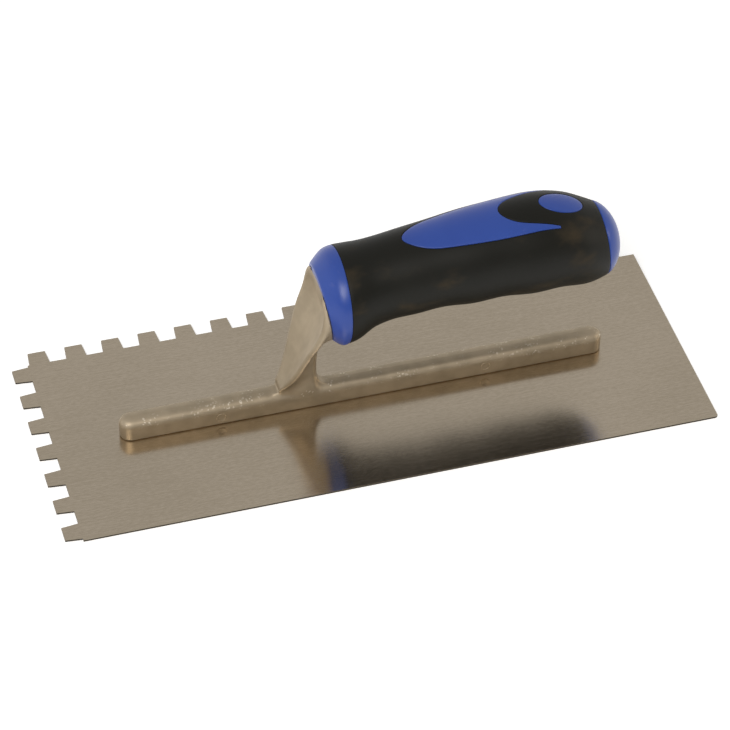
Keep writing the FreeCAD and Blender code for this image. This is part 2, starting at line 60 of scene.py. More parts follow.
# %% [markdown]
# ## A small language for node trees
# Materials and Geometry Nodes are both graphs. Wiring them by hand takes a line for every link, so two
# small classes do it: Wire holds an output socket and turns Python arithmetic into Math nodes, and Tree
# adds any node from its type, its settings and what goes into its sockets.

# %% Wires that do arithmetic
class Wire:
    """An output socket of a node tree. Arithmetic on it adds Math nodes."""

    def __init__(self, tree, socket):
        self.tree = tree
        self.socket = socket

    def __getitem__(self, name):
        """Another output of the same node."""
        return Wire(self.tree, self.socket.node.outputs[name])

    def maths(self, operation, first, second=0.0):
        return self.tree.node("ShaderNodeMath", {"operation": operation}, {0: first, 1: second})

    def __add__(self, other):
        return self.maths("ADD", self, other)

    def __mul__(self, other):
        return self.maths("MULTIPLY", self, other)

    def __sub__(self, other):
        return self.maths("SUBTRACT", self, other)

    def __rsub__(self, other):
        return self.maths("SUBTRACT", other, self)

    def __truediv__(self, other):
        return self.maths("DIVIDE", self, other)

    def __mod__(self, other):
        return self.maths("FLOORED_MODULO", self, other)

    def __gt__(self, other):
        return self.maths("GREATER_THAN", self, other)

    def __lt__(self, other):
        return self.maths("LESS_THAN", self, other)

    def __abs__(self):
        return self.maths("ABSOLUTE", self)

    def floor(self):
        return self.maths("FLOOR", self)

    def power(self, other):
        return self.maths("POWER", self, other)

    __radd__ = __add__
    __rmul__ = __mul__


# %% Trees that grow by one method
class Tree:
    """A node tree, with one method that adds any kind of node."""

    def __init__(self, tree):
        self.tree = tree

    def node(self, kind, settings=None, sockets=None):
        """Adds a node: settings are its properties, sockets are values, wires or lists of wires."""
        node = self.tree.nodes.new(kind)
        for name, value in (settings or {}).items():
            if name == "stops":
                self.set_stops(node.color_ramp.elements, value)
            else:
                setattr(node, name, value)
        for name, value in (sockets or {}).items():
            for part in value if isinstance(value, list) else [value]:
                if isinstance(part, Wire):
                    self.tree.links.new(part.socket, node.inputs[name])
                else:
                    node.inputs[name].default_value = part
        return Wire(self, node.outputs[0]) if node.outputs else node

    def ramp(self, wire, low, high, start=0.0, end=1.0):
        """start below low, end above high, smooth between."""
        return self.node("ShaderNodeMapRange", {"interpolation_type": "SMOOTHSTEP"}, {
            "Value": wire, "From Min": low, "From Max": high, "To Min": start, "To Max": end})

    @staticmethod
    def set_stops(elements, stops):
        while len(elements) < len(stops):
            elements.new(1.0)
        for element, (position, grey) in zip(elements, stops):
            element.position = position
            element.color = (grey, grey, grey, 1.0)


# %% [markdown]
# ## Camera
# The trowel is seen from above its near left, through a long lens, so that the blade's edges stay nearly
# parallel. The camera is placed by its direction from the point it aims at, as a tripod would be set up,
# and its small tilt is a last turn about its own axis.

# %% Place the camera
CAMERA_AZIMUTH = -16.88         # degrees, from the near side towards the left
CAMERA_ELEVATION = 42.94
CAMERA_ROLL = -1.02
CAMERA_DISTANCE = 1.4745        # metres
CAMERA_AIM = Vector((0.00583, 0.01321, 0.0))
CAMERA_LENS = 171.0


def direction(azimuth, elevation):
    """Unit vector towards a place on the sky: azimuth 0 is -Y, and 90 is +X."""
    turn, lift = math.radians(azimuth), math.radians(elevation)
    return Vector((math.sin(turn) * math.cos(lift), -math.cos(turn) * math.cos(lift), math.sin(lift)))


camera_data = bpy.data.cameras.new("camera")
camera_data.lens = CAMERA_LENS
camera_data.sensor_width = 36.0
camera_data.clip_start = 0.01
camera = bpy.data.objects.new("camera", camera_data)
scene.collection.objects.link(camera)
camera.location = CAMERA_AIM + direction(CAMERA_AZIMUTH, CAMERA_ELEVATION) * CAMERA_DISTANCE
facing = direction(CAMERA_AZIMUTH, CAMERA_ELEVATION).to_track_quat("Z", "Y").to_matrix()
camera.rotation_euler = (facing @ Matrix.Rotation(math.radians(-CAMERA_ROLL), 3, "Z")).to_euler()
scene.camera = camera
print("camera at", [round(v, 3) for v in camera.location])

# %% [markdown]
# ## Studio
# Metal shows its surroundings more than its own colour, so the studio comes before the finishes. Walls
# that are pale near the floor and greyer overhead give the steel something to show, and the side behind
# the camera is darker, as it is in a room lit from the far side. One soft lamp stands close to the camera,
# and a smaller one at the far right draws the highlight on the end of the grip.

# %% World: pale walls, greyer ceiling
WALL = 0.80
CEILING = 0.52
CAMERA_SIDE = 0.20              # share of the light that comes back from behind the camera
LEFT_SIDE = 1.30                # the left wall is brighter than the far one
scene.view_settings.view_transform = "Standard"
world = bpy.data.worlds.new("studio")
world.use_nodes = True
scene.world = world
world.node_tree.nodes.clear()
sky = Tree(world.node_tree)
way = sky.node("ShaderNodeSeparateXYZ", {}, {0: sky.node("ShaderNodeTexCoord")["Generated"]})
by_height = sky.ramp(way["Z"], 0.0, 0.8, WALL, CEILING)
by_depth = sky.ramp(way["Y"], -0.75, 0.05, CAMERA_SIDE, 1.0)
by_side = sky.ramp(way["X"], -0.9, -0.2, LEFT_SIDE, 1.0)
background = sky.node("ShaderNodeBackground", {}, {
    "Color": (1.0, 0.985, 0.96, 1.0), "Strength": by_height * by_depth * by_side})
sky.node("ShaderNodeOutputWorld", {}, {"Surface": background})
print("world strength from", WALL, "to", CEILING)

# %% Lamps
def add_lamp(name, azimuth, elevation, distance, size, power, colour=(1.0, 0.97, 0.93)):
    """A square soft lamp that faces the middle of the trowel."""
    lamp_data = bpy.data.lights.new(name, "AREA")
    lamp_data.size = size
    lamp_data.energy = power
    lamp_data.color = colour
    lamp = bpy.data.objects.new(name, lamp_data)
    scene.collection.objects.link(lamp)
    lamp.location = direction(azimuth, elevation) * distance
    lamp.rotation_euler = direction(azimuth, elevation).to_track_quat("Z", "Y").to_euler()
    print(name, power, "W")


add_lamp("key_lamp", -32, 44, 2.0, 0.9, 21.0)
add_lamp("end_lamp", 68, 24, 1.8, 0.5, 4.5, (1.0, 0.88, 0.72))

# %% Floor
FLOOR_DROP = 0.0002             # under the blade's underside, so that the two don't share a plane
FLOOR_REACH = 30.0              # metres each way
FLOOR_GLOW = 0.42               # only for the camera and for reflections, so it lights nothing from below
floor_mesh = bpy.data.meshes.new("floor")
floor_mesh.from_pydata(
    [(x * FLOOR_REACH, y * FLOOR_REACH, -FLOOR_DROP) for x, y in ((-1, -1), (1, -1), (1, 1), (-1, 1))],
    [], [(0, 1, 2, 3)])
floor = bpy.data.objects.new("floor", floor_mesh)
scene.collection.objects.link(floor)
floor_finish = bpy.data.materials.new("floor")
floor_finish.use_nodes = True
floor_finish.node_tree.nodes.clear()
ground = Tree(floor_finish.node_tree)
ray = ground.node("ShaderNodeLightPath")
seen = ray["Is Camera Ray"] + ray["Is Glossy Ray"] + ray["Is Transmission Ray"]
paint = ground.node("ShaderNodeBsdfDiffuse", {}, {"Color": (0.93, 0.93, 0.93, 1.0)})
glow = ground.node("ShaderNodeEmission", {}, {"Color": (0.96, 0.98, 1.0, 1.0), "Strength": seen * FLOOR_GLOW})
sum_of_both = ground.node("ShaderNodeAddShader", {}, {0: paint, 1: glow})
ground.node("ShaderNodeOutputMaterial", {}, {"Surface": sum_of_both})
floor_mesh.materials.append(floor_finish)

# %% [markdown]
# ## Finishes
# Every finish is one Principled shader with patterns that are measured in the object's own metres, so that
# grain and brushing keep their real size. A pattern only reaches colour, roughness and bump. What is the
# same all over is set on the shader's own sockets.

# %% A finish with its shader
class Finish(Tree):
    """A material, its Principled shader and the patterns that feed it."""

    def __init__(self, name, settings):
        self.material = bpy.data.materials.new(name)
        self.material.use_nodes = True
        self.material.node_tree.nodes.clear()
        super().__init__(self.material.node_tree)
        self.shader = self.node("ShaderNodeBsdfPrincipled", {}, settings)
        self.node("ShaderNodeOutputMaterial", {}, {"Surface": self.shader})
        self.place = self.node("ShaderNodeTexCoord")["Object"]

    def feed(self, name, wire):
        self.tree.links.new(wire.socket, self.shader.socket.node.inputs[name])

    def noise(self, scale, detail=2.0, stretch=(1.0, 1.0, 1.0), roughness=0.5):
        """Noise from 0 to 1. The scale is in cells to a metre."""
        where = self.node("ShaderNodeMapping", {}, {"Vector": self.place, "Scale": stretch})
        return self.node("ShaderNodeTexNoise", {}, {
            "Vector": where, "Scale": scale, "Detail": detail, "Roughness": roughness})

    def blend(self, share, first, second):
        """A colour between two others."""
        mix = self.node("ShaderNodeMix", {"data_type": "RGBA"}, {0: share, 6: first, 7: second})
        return Wire(self, mix.socket.node.outputs[2])

    def bump(self, height, distance, strength=1.0):
        self.feed("Normal", self.node("ShaderNodeBump", {}, {
            "Height": height, "Distance": distance, "Strength": strength}))


def linear(red, green, blue):
    """A colour as a screen shows it, from 0 to 255, in the shader's own linear numbers."""
    def one(value):
        value /= 255
        return value / 12.92 if value <= 0.04045 else ((value + 0.055) / 1.055) ** 2.4
    return (one(red), one(green), one(blue), 1.0)


finishes = {}

# %% [markdown]
# ### Brushed steel
# The sheet is ground along its length on a belt, which leaves fine scratches a few centimetres long. They
# could be modelled as strongly stretched noise in bump alone, but on the real sheet they also change how
# sharply it reflects, so faint streaks, a short grain and a slow cloud drive colour and roughness together.

# %% Ground steel
def brushed_steel(name, pale, dark, roughness):
    steel = Finish(name, {"Metallic": 1.0, "Anisotropic": 0.65, "Anisotropic Rotation": 0.25})
    fine = steel.noise(60.0, 3.0, (0.6, 40.0, 40.0), 0.6)
    grain = steel.noise(1500.0, 2.0, (0.3, 1.0, 1.0))
    cloud = steel.noise(14.0, 3.0)
    streaks = fine * 0.35 + grain * 0.40 + cloud * 0.25
    sheared = steel.node("ShaderNodeAttribute", {"attribute_name": "sheared"})["Fac"]
    ground_skin = steel.blend(steel.ramp(streaks, 0.34, 0.66), dark, pale)
    # Faces of the sheared edges get a dark colour: painted shade for the shadow line along the blade's edges.
    # Their extra roughness is real.
    steel.feed("Base Color", steel.blend(sheared, ground_skin, linear(66, 60, 52)))
    steel.feed("Roughness", roughness + (streaks - 0.5) * 0.14 + sheared * 0.35)
    steel.bump(fine * 0.5 + grain * 0.5, 0.00001, 0.25)
    return steel.material


finishes["steel_blade"] = brushed_steel(
    "brushed_steel", linear(206, 193, 174), linear(190, 177, 157), 0.18)
finishes["rivet_steel"] = brushed_steel(
    "ground_rivet_steel", linear(186, 182, 172), linear(164, 160, 150), 0.30)
finishes["zinc_steel"] = brushed_steel(
    "zinc_plated_steel", linear(196, 200, 206), linear(176, 180, 190), 0.28)

# %% [markdown]
# ### Cast metal
# The mounting is die-cast and tumbled. Its skin is a dull satin, a little uneven. A mottled colour and
# roughness do most of the work. Tiny bright specks are painted highlights: glints of light put into the base
# colour as cells of a Voronoi pattern, kept sparse by a threshold and kept to the heights of the bar's
# shoulder, where they show.

# %% Cast aluminium of the mounting
def cast_metal(name):
    cast = Finish(name, {"Metallic": 1.0})
    mottle = cast.noise(160.0, 3.0)
    cloud = cast.noise(30.0, 2.0)
    grain = cast.noise(1500.0, 3.0, roughness=0.65)
    cells = cast.node("ShaderNodeTexVoronoi", {}, {"Vector": cast.place, "Scale": 1500.0})
    # Painted highlight: sparse bright specks in the base colour, only on the heights of the bar's shoulder.
    glint_specks = cast.ramp(cast.node("ShaderNodeSeparateColor", {}, {0: cells["Color"]}), 0.86, 0.95)
    height = cast.node("ShaderNodeSeparateXYZ", {}, {0: cast.place})["Z"]
    glint_band = cast.ramp(height, 6.5 * MM, 9.0 * MM) * (1 - cast.ramp(height, 10.2 * MM, 11.2 * MM))
    painted_glint = glint_specks * glint_band * cast.ramp(cast.noise(110.0, 2.0), 0.42, 0.60)
    tone = cast.ramp(mottle * 0.6 + cloud * 0.4, 0.34, 0.66)
    skin = cast.blend(tone, linear(170, 157, 136), linear(185, 171, 149))
    # The painted glints pull the base colour towards a pale highlight colour.
    cast.feed("Base Color", cast.blend(painted_glint * 0.7, skin, linear(238, 230, 214)))
    cast.feed("Roughness", 0.57 + (mottle - 0.5) * 0.10)
    cast.bump(grain * 0.7 + mottle * 0.3, 0.00007, 0.4)
    return cast.material


finishes["cast_aluminium"] = cast_metal("cast_aluminium")

# %% [markdown]
# ### Two plastics
# The hard blue parts come from a polished mould with a faint satin and a few pale scuffs. The black sleeve
# is a softer material that takes handling marks, here brown traces of clay. Both get a fine moulded grain.
# Scuffs and smears are clouds cut by a threshold, so that most of the grip stays clean.

# %% Blue plastic
def blue_plastic(name):
    blue = Finish(name, {
        "Specular IOR Level": 0.45, "Sheen Weight": 0.05, "Sheen Tint": linear(190, 160, 230)})
    cloud = blue.noise(45.0, 2.0)
    grain = blue.noise(2600.0, 2.0)
    scuffs = blue.ramp(blue.noise(90.0, 4.0, (1.0, 1.0, 3.0), 0.7), 0.60, 0.75)
    tone = blue.blend(cloud, linear(39, 68, 151), linear(46, 79, 165))
    blue.feed("Base Color", blue.blend(scuffs * 0.10, tone, linear(120, 126, 180)))
    blue.feed("Roughness", 0.34 + (cloud - 0.5) * 0.08 + scuffs * 0.08)
    blue.bump(grain, 0.00003, 0.5)
    return blue.material


finishes["blue_plastic"] = blue_plastic("blue_plastic")

# %% Black rubber
def black_rubber(name):
    rubber = Finish(name, {"Specular IOR Level": 0.24})
    cloud = rubber.noise(38.0, 3.0)
    smears = rubber.ramp(rubber.noise(75.0, 3.0, (0.8, 1.0, 1.2)), 0.52, 0.80)
    grain = rubber.noise(1900.0, 3.0, roughness=0.6)
    tone = rubber.blend(cloud, linear(15, 15, 11), linear(22, 22, 16))
    rubber.feed("Base Color", rubber.blend(smears * 0.50, tone, linear(70, 58, 38)))
    rubber.feed("Roughness", 0.50 + (cloud - 0.5) * 0.10 + smears * 0.12)
    rubber.bump(grain, 0.00006, 0.6)
    return rubber.material


finishes["black_rubber"] = black_rubber("black_rubber")
print("finishes:", ", ".join(finishes))

# %% [markdown]
# ## From a mesh to a piece
# Each piece ends the same way: it stands at the origin with its place in its mesh, gets one finish, is
# shaded smooth except across real edges, rides on the trowel's one body and hides any measured node it
# replaces.

# %% Finishing touches shared by all pieces
SHARP = math.radians(38)


def finish_piece(piece, slot, replaced=(), sharp=SHARP):
    """The last steps of a piece: its finish, its shading, and what it says about itself."""
    mesh = piece.data
    mesh.materials.clear()
    mesh.materials.append(finishes[slot])
    mesh.shade_smooth()
    mesh.set_sharp_from_angle(angle=sharp)
    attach(piece, "root")
    if replaced:
        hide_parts(*replaced)
    mesh.calc_loop_triangles()
    print(f"{piece.name}: {len(mesh.loop_triangles)} triangles")
    return piece


def new_object(name, mesh):
    thing = bpy.data.objects.new(name, mesh)
    scene.collection.objects.link(thing)
    return thing


def settle(thing):
    """Applies the object's modifiers: its mesh becomes the evaluated one, and the modifiers go."""
    graph = bpy.context.evaluated_depsgraph_get()
    mesh = bpy.data.meshes.new_from_object(thing.evaluated_get(graph))
    mesh.name = thing.name
    thing.modifiers.clear()
    thing.data = mesh
    return thing


# %% Finishes for the measured nodes
# Whatever isn't replaced by a more detailed piece keeps its measured mesh and takes its finish here.
NODE_SLOTS = {
    "blade": "steel_blade", "blade_rivets": "rivet_steel", "mount_casting": "cast_aluminium",
    "front_collar": "blue_plastic", "grip_core": "blue_plastic", "end_cap": "blue_plastic",
    "grip_sleeve": "black_rubber", "tang_washer": "zinc_steel", "tang_screw": "zinc_steel"}
for node_name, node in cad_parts.items():
    node.data.materials.clear()
    node.data.materials.append(finishes[NODE_SLOTS[node_name]])

# %% [markdown]
# ## Geometry Nodes, built in the script
# What repeats or follows a path is made by a node tree with named sizes. The tree runs on an empty mesh
# through a modifier, the result is turned into a plain mesh, and the modifier goes.

# %% A geometry tree with named sizes
class Recipe(Tree):
    """A Geometry Nodes tree whose sizes are named inputs.

    Where it follows a path, the path's points come in as the mesh that the tree runs on."""

    def __init__(self, name, slot, sizes, path=()):
        self.sizes = sizes
        self.slot = slot
        self.path = path
        self.group = bpy.data.node_groups.new(name, "GeometryNodeTree")
        super().__init__(self.group)
        face = self.group.interface
        if path:
            face.new_socket("Path", in_out="INPUT", socket_type="NodeSocketGeometry")
        for label, value in sizes.items():
            kind = "NodeSocketInt" if isinstance(value, int) else "NodeSocketFloat"
            face.new_socket(label, in_out="INPUT", socket_type=kind)
        face.new_socket("Geometry", in_out="OUTPUT", socket_type="NodeSocketGeometry")
        self.given = self.node("NodeGroupInput")

    def point(self, x=0.0, y=0.0, z=0.0):
        return self.node("ShaderNodeCombineXYZ", {}, {0: x, 1: y, 2: z})

    def parts(self, vector):
        """The three numbers of a vector."""
        split = self.node("ShaderNodeSeparateXYZ", {}, {0: vector})
        return split["X"], split["Y"], split["Z"]

    def choose(self, question, no, yes):
        """A number that depends on a yes or no."""
        return self.node("GeometryNodeSwitch", {"input_type": "FLOAT"}, {0: question, 1: no, 2: yes})

    def place_points(self, shape, position):
        return self.node("GeometryNodeSetPosition", {}, {"Geometry": shape, "Position": position})

    def join(self, *shapes):
        return self.node("GeometryNodeJoinGeometry", {}, {0: list(shapes)})

    def make(self, name):
        """Ends the tree, runs it and returns the result as a plain mesh object."""
        real = self.node("GeometryNodeRealizeInstances", {}, {0: self.result})
        painted = self.node("GeometryNodeSetMaterial", {}, {
            "Geometry": real, "Material": finishes[self.slot]})
        self.node("NodeGroupOutput", {}, {"Geometry": painted})
        start = bpy.data.meshes.new(name)
        start.from_pydata(self.path, [(i, i + 1) for i in range(len(self.path) - 1)], [])
        maker = new_object(name, start)
        modifier = maker.modifiers.new("recipe", "NODES")
        modifier.node_group = self.group
        for item in self.group.interface.items_tree:
            if item.name in self.sizes:
                modifier[item.identifier] = self.sizes[item.name]
        return settle(maker)


# %% [markdown]
# ## Blade
# The blade is blanked from sheet: a rectangle with a row of square teeth along one long edge and another
# along one short edge. A tooth could be modelled once and arrayed, but then each would have to be joined
# to the sheet. Instead the tree draws the whole outline by rule: every group of four points in a line is
# one tooth, and a point's number says which corner it is. The filled outline is then given its thickness.

# %% Sizes of the blade
BLADE_LOW, BLADE_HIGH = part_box("blade")
TOOTH_PITCH = 16.0 * MM
MOUNT_LINE = -2.0 * MM          # y of the mounting's middle plane
BAR_MIDDLE_X = 0.6 * MM
BAR_LENGTH = 210.5 * MM
RIVET_COUNT = 6
RIVET_MARGIN = 12.0 * MM        # from the bar's end to the first rivet's axis
FIRST_RIVET = BAR_MIDDLE_X - BAR_LENGTH / 2 + RIVET_MARGIN
RIVET_STEP = (BAR_LENGTH - 2 * RIVET_MARGIN) / (RIVET_COUNT - 1)
blade_sizes = {
    "Length": BLADE_HIGH.x - BLADE_LOW.x,
    "Width": BLADE_HIGH.y - BLADE_LOW.y,
    "Thickness": BLADE_HIGH.z - BLADE_LOW.z,
    "Tooth pitch": TOOTH_PITCH,
    "Tooth tip": 7.5 * MM,
    "Tooth root": 8.9 * MM,
    "Tooth depth": 7.2 * MM,
    "Long row start": 12.4 * MM,
    "Short row start": 12.7 * MM,
    "Long row teeth": 17,
    "Short row teeth": 7,
    "Corner radius": 1.5 * MM,
    "Rivet count": RIVET_COUNT,
    "First rivet": FIRST_RIVET,
    "Rivet step": RIVET_STEP,
    "Hole radius": 2.2 * MM,
    "Countersink": 3.1 * MM,
    "Mount line": MOUNT_LINE,
}
print("blade", round(blade_sizes["Length"] / MM, 1), "by", round(blade_sizes["Width"] / MM, 1), "mm")

# %% Outline of the blade
blade = Recipe("toothed_blade", "steel_blade", blade_sizes)
size = blade.given
left, right = size["Length"] * -0.5, size["Length"] * 0.5
near, far = size["Width"] * -0.5, size["Width"] * 0.5
root_x, root_y = left + size["Tooth depth"], far - size["Tooth depth"]
number = blade.node("GeometryNodeInputIndex")


def toothed_line(teeth, start, edge_length):
    """A line of points that steps in and out along one edge, as (line, distance along, height)."""
    last = teeth * 4 + 1
    line = blade.node("GeometryNodeMeshLine", {}, {"Count": teeth * 4 + 2})
    corner = (number - 1) % 4
    tooth = ((number - 1) / 4).floor()
    raised = abs(corner - 1.5) < 1
    outward = (corner > 1.5) * 2 - 1
    half = (size["Tooth root"] + raised * (size["Tooth tip"] - size["Tooth root"])) * 0.5
    along = start + tooth * size["Tooth pitch"] + outward * half
    along = blade.choose(number < 0.5, along, size["Tooth depth"])
    along = blade.choose(number > last - 0.5, along, edge_length)
    inside = (number > 0.5) * (number < last - 0.5)
    return line, along, raised * size["Tooth depth"] * inside


line, along, height = toothed_line(size["Long row teeth"], size["Long row start"], size["Length"])
long_row = blade.place_points(line, blade.point(left + along, root_y + height))
line, along, height = toothed_line(size["Short row teeth"], size["Short row start"], size["Width"])
short_row = blade.place_points(line, blade.point(root_x - height, far - along))
line = blade.node("GeometryNodeMeshLine", {}, {"Count": 3})
plain_x = blade.choose(number > 1.5, right, root_x)
plain_y = blade.choose(number > 0.5, root_y, near)
plain_edges = blade.place_points(line, blade.point(plain_x, plain_y))
outline = blade.node("GeometryNodeMergeByDistance", {}, {
    "Geometry": blade.join(long_row, short_row, plain_edges), "Distance": 0.01 * MM})
outline = blade.node("GeometryNodeMeshToCurve", {}, {0: outline})
x, y, z = blade.parts(blade.node("GeometryNodeInputPosition"))
at_plain_corner = (x > right - 0.1 * MM) * (y < near + 0.1 * MM)
outline = blade.node("GeometryNodeFilletCurve", {"mode": "POLY"}, {
    "Curve": outline, "Count": 6, "Radius": at_plain_corner * size["Corner radius"]})

# %% Holes, thickness and countersinks
centres = blade.node("GeometryNodeMeshLine", {}, {
    "Count": size["Rivet count"], "Start Location": blade.point(size["First rivet"], size["Mount line"]),
    "Offset": blade.point(size["Rivet step"])})
hole = blade.node("GeometryNodeCurvePrimitiveCircle", {}, {"Resolution": 48, "Radius": size["Hole radius"]})
holes = blade.node("GeometryNodeInstanceOnPoints", {}, {"Points": centres, "Instance": hole})
holes = blade.node("GeometryNodeRealizeInstances", {}, {0: holes})
sheet = blade.node("GeometryNodeFillCurve", {"mode": "NGONS"}, {0: blade.join(outline, holes)})
raised_sheet = blade.node("GeometryNodeExtrudeMesh", {}, {
    "Mesh": sheet, "Offset": blade.point(0, 0, 1), "Offset Scale": size["Thickness"], "Individual": False})
underside = blade.node("GeometryNodeFlipFaces", {}, {0: sheet})
plate = blade.node("GeometryNodeMergeByDistance", {}, {
    "Geometry": blade.join(raised_sheet, underside), "Distance": 0.005 * MM})
nearest_number = ((x - size["First rivet"]) / size["Rivet step"] + 0.5).floor()
nearest = nearest_number * size["Rivet step"] + size["First rivet"]
from_x, from_y = x - nearest, y - size["Mount line"]
reach = (from_x * from_x + from_y * from_y).power(0.5)
on_sink = (reach < size["Hole radius"] * 1.05) * (z < size["Thickness"] * 0.5)
growth = on_sink * (size["Countersink"] / size["Hole radius"] - 1)
blade.result = blade.place_points(plate, blade.point(x + from_x * growth, y + from_y * growth, z))
blade_piece = blade.make("toothed_blade")

# %% Broken edges
# Blanking leaves a burr that the maker takes off, so every edge is very slightly rounded.
bevel = blade_piece.modifiers.new("broken_edges", "BEVEL")
bevel.width = 0.12 * MM
bevel.segments = 2
bevel.limit_method = "ANGLE"
bevel.angle_limit = math.radians(50)
bevel.use_clamp_overlap = False
bevel.loop_slide = False
settle(blade_piece)

# %% Direction of the grain, and the sheared edges
# Brushed steel smears reflections across its grain. The shader takes the grain's direction from the first
# axis of the UV map, so the map is simply the sheet seen from above. The sheared edges are rough, and they
# are darkened with painted shade for the thin shadow line along the blade's edges. A number stored on each
# face tells the finish which faces those are.
sheet_mesh = blade_piece.data
grain_map = sheet_mesh.uv_layers.new(name="grain")
for corner in sheet_mesh.loops:
    place = sheet_mesh.vertices[corner.vertex_index].co
    grain_map.data[corner.index].uv = (place.x, place.y)
# 1 on the edge faces: rough, and darkened with painted shade.
sheared = sheet_mesh.attributes.new("sheared", "FLOAT", "FACE")
for face in sheet_mesh.polygons:
    sheared.data[face.index].value = float(abs(face.normal.z) < 0.5)
finish_piece(blade_piece, "steel_blade", ["blade"], math.radians(20))

# %% [markdown]
# ## Rivets
# Six countersunk rivets come up through the blade into the bar. From above none shows, but turned over,
# the trowel has a row of discs ground flush with the sheet. One rivet is a turned profile, so a tree makes
# it from cylinders and cones once and sets it on a line of points.

# %% Rivets through the blade
RIVET_FIT = 0.02 * MM
rivet = Recipe("blade_rivet_row", "rivet_steel", {
    "Count": RIVET_COUNT, "First": FIRST_RIVET, "Step": RIVET_STEP, "Mount line": MOUNT_LINE,
    "Head radius": blade_sizes["Countersink"] - RIVET_FIT,
    "Shank radius": blade_sizes["Hole radius"] - RIVET_FIT,
    "Thickness": blade_sizes["Thickness"], "Grip": 5.5 * MM})
size = rivet.given
head = rivet.node("GeometryNodeMeshCone", {}, {
    "Vertices": 48, "Side Segments": 1, "Radius Top": size["Shank radius"],
    "Radius Bottom": size["Head radius"], "Depth": size["Thickness"]})
shank = rivet.node("GeometryNodeMeshCylinder", {}, {
    "Vertices": 48, "Radius": size["Shank radius"], "Depth": size["Grip"]})
shank = rivet.node("GeometryNodeTransform", {}, {
    "Geometry": shank, "Translation": rivet.point(0, 0, size["Thickness"] + size["Grip"] * 0.5)})
one_rivet = rivet.node("GeometryNodeMeshBoolean", {"operation": "UNION", "solver": "EXACT"}, {
    "Mesh 2": [head, shank]})
row = rivet.node("GeometryNodeMeshLine", {}, {
    "Count": size["Count"], "Start Location": rivet.point(size["First"], size["Mount line"]),
    "Offset": rivet.point(size["Step"])})
rivet.result = rivet.node("GeometryNodeInstanceOnPoints", {}, {"Points": row, "Instance": one_rivet})
finish_piece(rivet.make("rivet_row"), "rivet_steel", ["blade_rivets"])

# %% [markdown]
# ## Cast mounting
# Bar, neck and tang are one casting, and a casting has no sharp edge: metal can't fill one. Bevelling the
# many edges where neck and bar run together would be slow and fragile. Remeshing a copy of the measured
# part into small even quads, then relaxing them, rounds every edge and fills every inner corner at once,
# just as the die does.

# %% Soften the casting
CAST_GRID = 0.46 * MM
CAST_RELAX = 14


def merged_copy(name, node_name):
    """A copy of a measured node with its loose triangles joined."""
    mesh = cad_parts[node_name].data.copy()
    work = bmesh.new()
    work.from_mesh(mesh)
    bmesh.ops.remove_doubles(work, verts=work.verts, dist=0.001 * MM)
    work.to_mesh(mesh)
    work.free()
    return new_object(name, mesh)


casting = merged_copy("cast_mounting", "mount_casting")
remesh = casting.modifiers.new("even_quads", "REMESH")
remesh.mode = "VOXEL"
remesh.voxel_size = CAST_GRID
remesh.use_smooth_shade = True
relax = casting.modifiers.new("relaxed", "SMOOTH")
relax.factor = 0.5
relax.iterations = CAST_RELAX
settle(casting)
finish_piece(casting, "cast_aluminium", ["mount_casting"], math.radians(180))

# %% [markdown]
# ## Fin and marks of the die
# Where the die's two halves met, a hair-fine fin runs along the crest of the bar and down its ends, and
# round pins that pushed the casting out left small raised rings on its side. Both are far too fine for the
# remesh. The fin is a narrow strip swept along the bar's outline, and the rings are two copies of one hoop.

# %% Outline of the bar along its middle
BAR_WIDTH = 9.4 * MM
BAR_TOP = 10.8 * MM
SHOULDER = 3.2 * MM
CROWN = 8.0 * MM                # radius of the bar's gently domed top
FIN_FOOT = 1.0 * MM


def bar_end_profile(steps=7):
    """From the blade up and over one end of the bar, as (distance from the dome's axis, height)."""
    flat = BAR_WIDTH / 2 - SHOULDER
    turn = math.asin(flat / (CROWN - SHOULDER))
    hub = BAR_TOP - CROWN * (1 - math.cos(turn)) - SHOULDER * math.cos(turn)
    points = [(BAR_WIDTH / 2, FIN_FOOT)]
    for step in range(steps + 1):
        angle = math.pi / 2 + (turn - math.pi / 2) * step / steps
        points.append((flat + SHOULDER * math.sin(angle), hub + SHOULDER * math.cos(angle)))
    points.append((0.0, BAR_TOP))
    return points


reach = BAR_LENGTH / 2 - BAR_WIDTH / 2
rising = [(BAR_MIDDLE_X - reach - across, MOUNT_LINE, up) for across, up in bar_end_profile()]
falling = [(BAR_MIDDLE_X + reach + across, MOUNT_LINE, up) for across, up in reversed(bar_end_profile())]

# %% Parting fin
fin = Recipe("parting_fin", "cast_aluminium", {
    "Width": 0.46 * MM, "Height": 0.15 * MM, "Ripple scale": 240.0, "Seed": 4.0}, path=rising + falling)
size = fin.given
path = fin.node("GeometryNodeMeshToCurve", {}, {0: size["Path"]})
path = fin.node("GeometryNodeResampleCurve", {}, {"Curve": path, "Count": 400})
ripple = fin.node("ShaderNodeTexNoise", {"noise_dimensions": "4D"}, {
    "Scale": size["Ripple scale"], "W": size["Seed"], "Detail": 3.0})
section = fin.node("GeometryNodeCurvePrimitiveCircle", {}, {"Resolution": 6, "Radius": 0.5})
section = fin.node("GeometryNodeTransform", {}, {
    "Geometry": section, "Scale": fin.point(size["Height"], size["Width"], 1.0)})
fin.result = fin.node("GeometryNodeCurveToMesh", {}, {
    "Curve": path, "Profile Curve": section, "Scale": ripple * 1.6 + 0.2, "Fill Caps": True})
finish_piece(fin.make("parting_fin"), "cast_aluminium")

